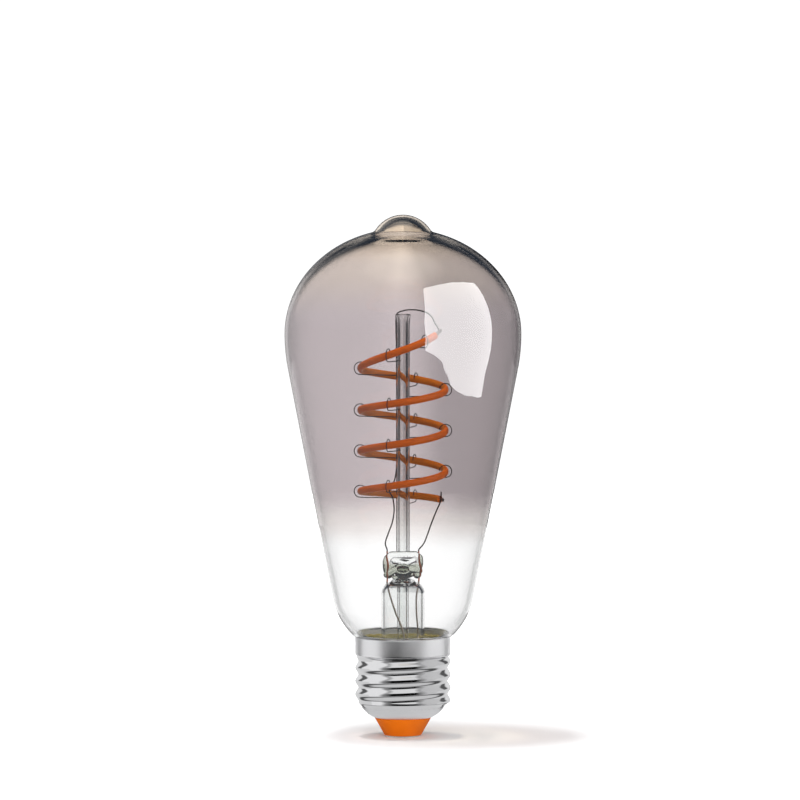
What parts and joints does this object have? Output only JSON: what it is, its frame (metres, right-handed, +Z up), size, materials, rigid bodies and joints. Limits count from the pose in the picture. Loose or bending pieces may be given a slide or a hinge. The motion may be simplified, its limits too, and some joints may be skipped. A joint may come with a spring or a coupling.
{
  "type": "smart filament light bulb",
  "caption": "Drop-shaped smart LED bulb with smoke-to-clear gradient glass, spiral filament on a glass mast, and a screw cap with an orange insulator.",
  "frame": {"origin": "centre of the base contact's lower face", "axes": "+Z up along the bulb's axis from the contact to the glass tip, -Y towards the front, +X to the right of the front"},
  "size_m": [0.0644, 0.0644, 0.1425],
  "materials": {
    "smoked_glass": "polished, tinted smoke at the top and clear below",
    "clear_glass": "polished clear soda glass",
    "phosphor_silicone": "satin orange phosphor silicone",
    "flex_circuit": "matte",
    "led_die": "glossy",
    "lead_metal": "dull drawn wire",
    "tab_metal": "satin stamped strip",
    "copper_clad": "copper-red seal wire",
    "cement": "rough olive capping cement",
    "nickel_shell": "bright nickel plating, satin on the skirt and the foot",
    "orange_insulator": "satin moulded plastic",
    "contact_metal": "plated, satin",
    "red_wire": "insulated",
    "tinned_wire": "tinned",
    "white_plastic": "moulded",
    "circuit_board": "solder mask",
    "black_package": "moulded epoxy",
    "capacitor_sleeve": "shrunk sleeve",
    "ferrite": "sintered",
    "resistor_body": "lacquered",
    "shield_can": "satin tinplate",
    "gold_trace": "plated",
    "chip_ceramic": "fired"
  },
  "bodies": {
    "root": {"glass_envelope": "smoked_glass", "stem_flare": "clear_glass", "stem_press": "clear_glass", "exhaust_tube": "clear_glass", "support_tube": "clear_glass", "filament_sleeve": "phosphor_silicone", "filament_strip": "flex_circuit", "led_chips": "led_die", "filament_tab_top": "tab_metal", "filament_tab_bottom": "tab_metal", "support_hooks": "lead_metal", "lead_wire_top": "lead_metal", "lead_wire_bottom": "lead_metal", "seal_wires": "copper_clad", "outer_lead_left": "lead_metal", "outer_lead_right": "lead_metal", "cap_cement": "cement", "screw_shell": "nickel_shell", "cap_insulator": "orange_insulator", "centre_contact": "contact_metal", "contact_wire": "red_wire", "shell_wire": "tinned_wire", "fuse_resistor": "resistor_body", "driver_sleeve": "white_plastic", "driver_board": "circuit_board", "bridge_rectifier": "black_package", "bulk_capacitor": "capacitor_sleeve", "power_inductor": "ferrite", "driver_chip": "black_package", "radio_module": "circuit_board", "radio_shield": "shield_can", "radio_antenna": "gold_trace", "chip_resistors": "black_package", "chip_capacitors": "chip_ceramic"}
  },
  "joints": []
}
